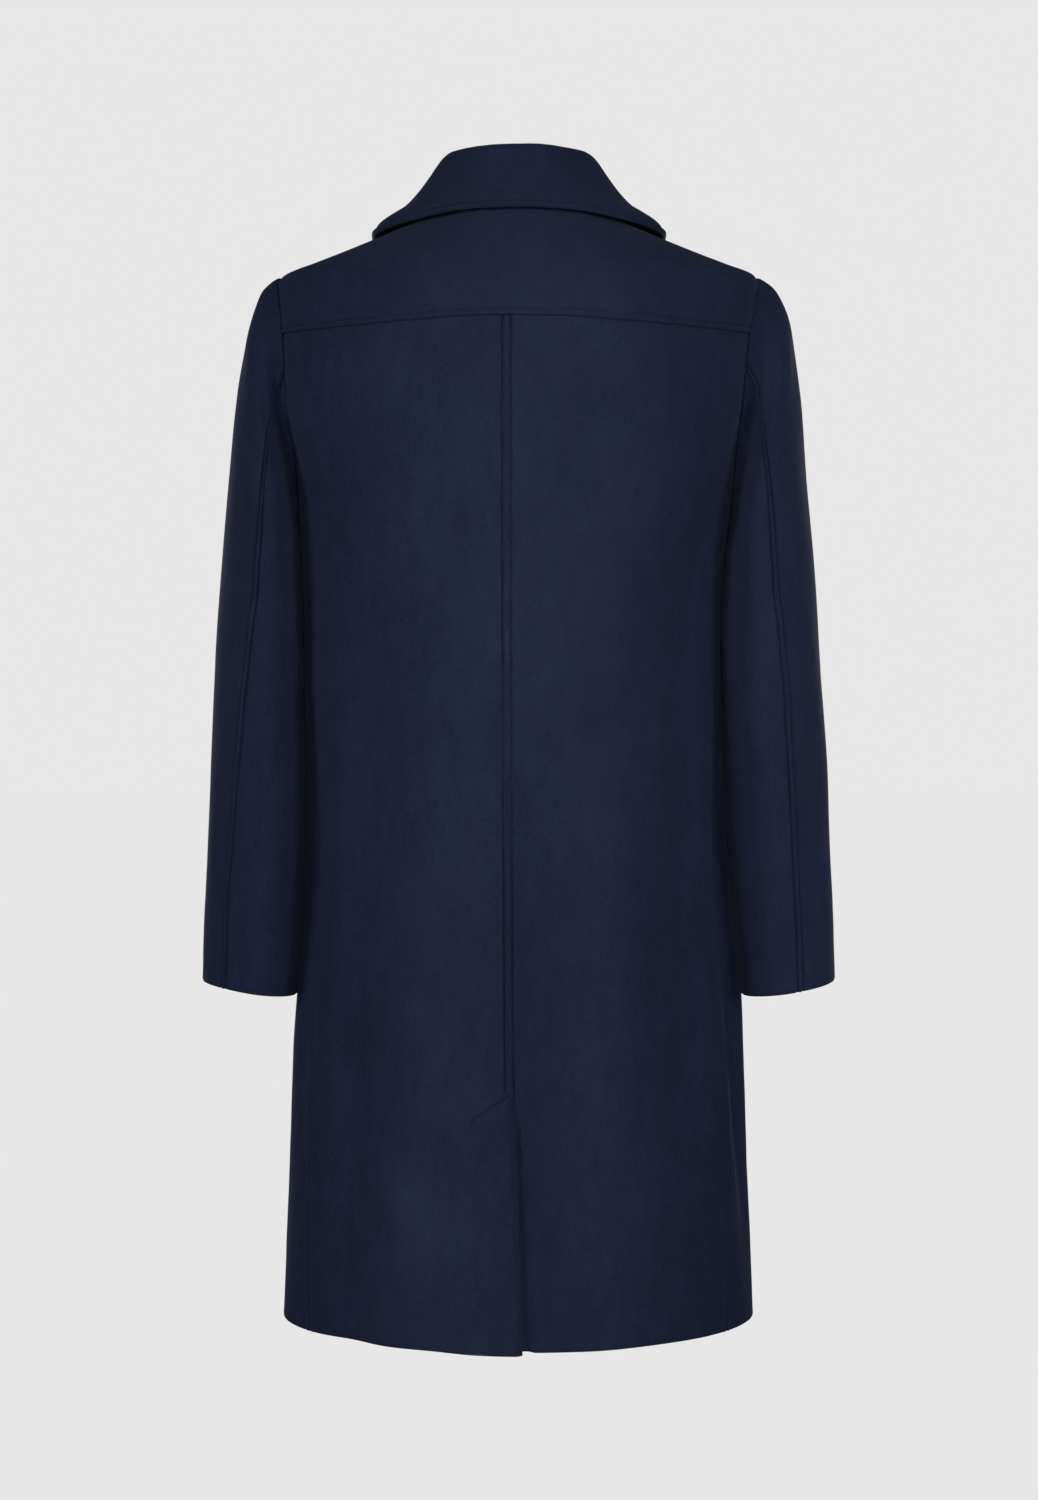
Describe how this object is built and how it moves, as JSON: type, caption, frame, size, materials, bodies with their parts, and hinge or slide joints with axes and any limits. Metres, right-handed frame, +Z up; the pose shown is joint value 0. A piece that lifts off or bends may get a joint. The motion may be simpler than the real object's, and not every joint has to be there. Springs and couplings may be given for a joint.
{
  "type": "winter coat",
  "caption": "Knee-length winter overcoat in heavy wool, filled out as if worn, with a broad turn-down collar, back yoke, long sleeves and a lapped back vent.",
  "frame": {"origin": "middle of the neck opening, level with the neck ends of the shoulder seams, where the wearer's shoulders carry the coat", "axes": "+Z up, -Y the coat's front, +X the wearer's left"},
  "size_m": [0.5966, 0.2901, 1.0995],
  "materials": {
    "wool": "matt napped wool, dark navy",
    "button": "satin, near black"
  },
  "bodies": {
    "root": {"back_yoke": "wool", "back_left": "wool", "back_right": "wool", "front_left": "wool", "front_right": "wool", "top_sleeve_left": "wool", "under_sleeve_left": "wool", "top_sleeve_right": "wool", "under_sleeve_right": "wool", "collar": "wool", "button_1": "button", "button_2": "button", "button_3": "button", "button_4": "button"}
  },
  "joints": []
}
